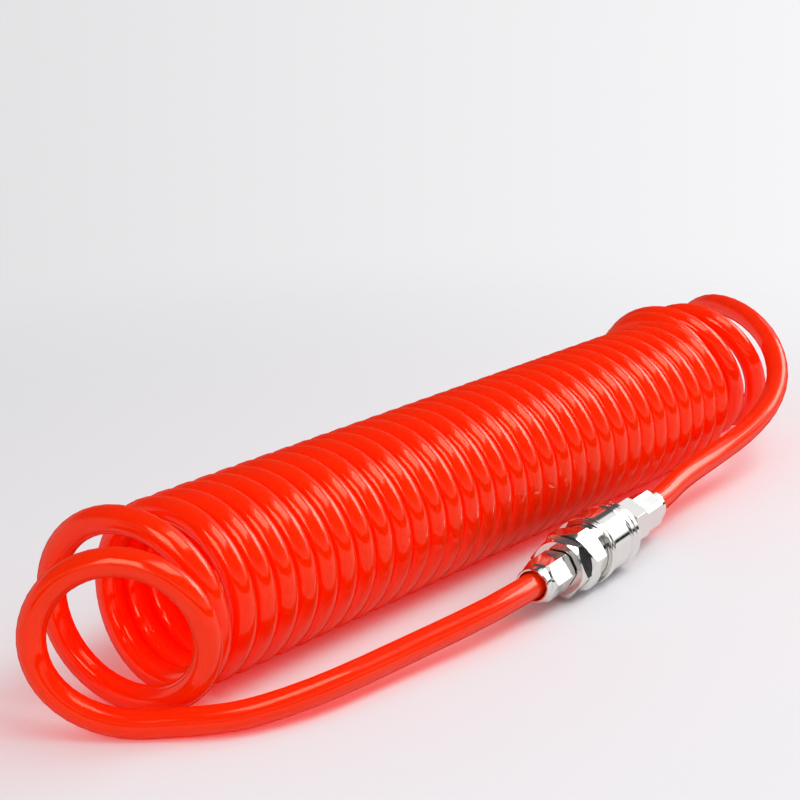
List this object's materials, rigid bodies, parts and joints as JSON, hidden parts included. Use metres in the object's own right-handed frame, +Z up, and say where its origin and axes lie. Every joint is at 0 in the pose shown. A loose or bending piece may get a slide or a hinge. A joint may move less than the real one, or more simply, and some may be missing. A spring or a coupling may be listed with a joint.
{
  "type": "coiled air hose",
  "caption": "Coiled polyurethane air hose lying on a bench, its two ends joined by a ball-locking quick coupling with hexagon hose nuts.",
  "frame": {"origin": "on the bench, under the middle of the coupling's axis", "axes": "+Z up, +X along the coupling from the socket to the plug, +Y from the coupling towards the coil"},
  "size_m": [0.381, 0.1043, 0.0588],
  "materials": {
    "hose": "clear orange-red polyurethane",
    "plated_steel": "bright nickel plate",
    "spring_steel": "drawn spring steel",
    "ball_steel": "polished hardened steel",
    "brass": "turned",
    "seal_rubber": "moulded nitrile rubber"
  },
  "bodies": {
    "socket": {"hose_coil": "hose", "hose_end_socket": "hose", "hose_end_plug": "hose", "socket_hose_nut": "plated_steel", "socket_adapter": "plated_steel", "adapter_seal_ring": "seal_rubber", "socket_body": "plated_steel", "sleeve_snap_ring": "spring_steel", "nose_packing": "seal_rubber", "sleeve_spring": "spring_steel", "valve_spring": "spring_steel"},
    "sleeve": {"sleeve": "plated_steel"},
    "plug": {"plug_body": "plated_steel", "plug_hose_nut": "plated_steel"},
    "valve": {"valve_poppet": "brass", "valve_seal_disc": "seal_rubber"},
    "ball_1": {"locking_ball_1": "ball_steel"},
    "ball_2": {"locking_ball_2": "ball_steel"},
    "ball_3": {"locking_ball_3": "ball_steel"}
  },
  "joints": [
    {"name": "sleeve_slide", "type": "slide", "parent": "socket", "child": "sleeve", "axis": [-1, 0, 0], "range_m": [0, 0.0022], "stiffness_N_per_m": 1500, "springref_m": -0.0015, "deforming": ["sleeve_spring"]},
    {"name": "plug_pull", "type": "slide", "parent": "socket", "child": "plug", "axis": [1, 0, 0], "range_m": [0, 0.015], "deforming": ["hose_end_plug"]},
    {"name": "valve_slide", "type": "slide", "parent": "socket", "child": "valve", "axis": [1, 0, 0], "range_m": [0, 0.00335], "deforming": ["valve_spring"]},
    {"name": "ball_1_lift", "type": "slide", "parent": "socket", "child": "ball_1", "axis": [0, 0, 1], "range_m": [0, 0.0005]},
    {"name": "ball_2_lift", "type": "slide", "parent": "socket", "child": "ball_2", "axis": [0, -0.866, -0.5], "range_m": [0, 0.0005]},
    {"name": "ball_3_lift", "type": "slide", "parent": "socket", "child": "ball_3", "axis": [0, 0.866, -0.5], "range_m": [0, 0.0005]}
  ],
  "couplings": [
    {"joint": "valve_slide", "follows": "plug_pull", "ratio": 0.2233},
    {"joint": "ball_1_lift", "follows": "sleeve_slide", "ratio": 0.2272},
    {"joint": "ball_2_lift", "follows": "sleeve_slide", "ratio": 0.2272},
    {"joint": "ball_3_lift", "follows": "sleeve_slide", "ratio": 0.2272}
  ]
}
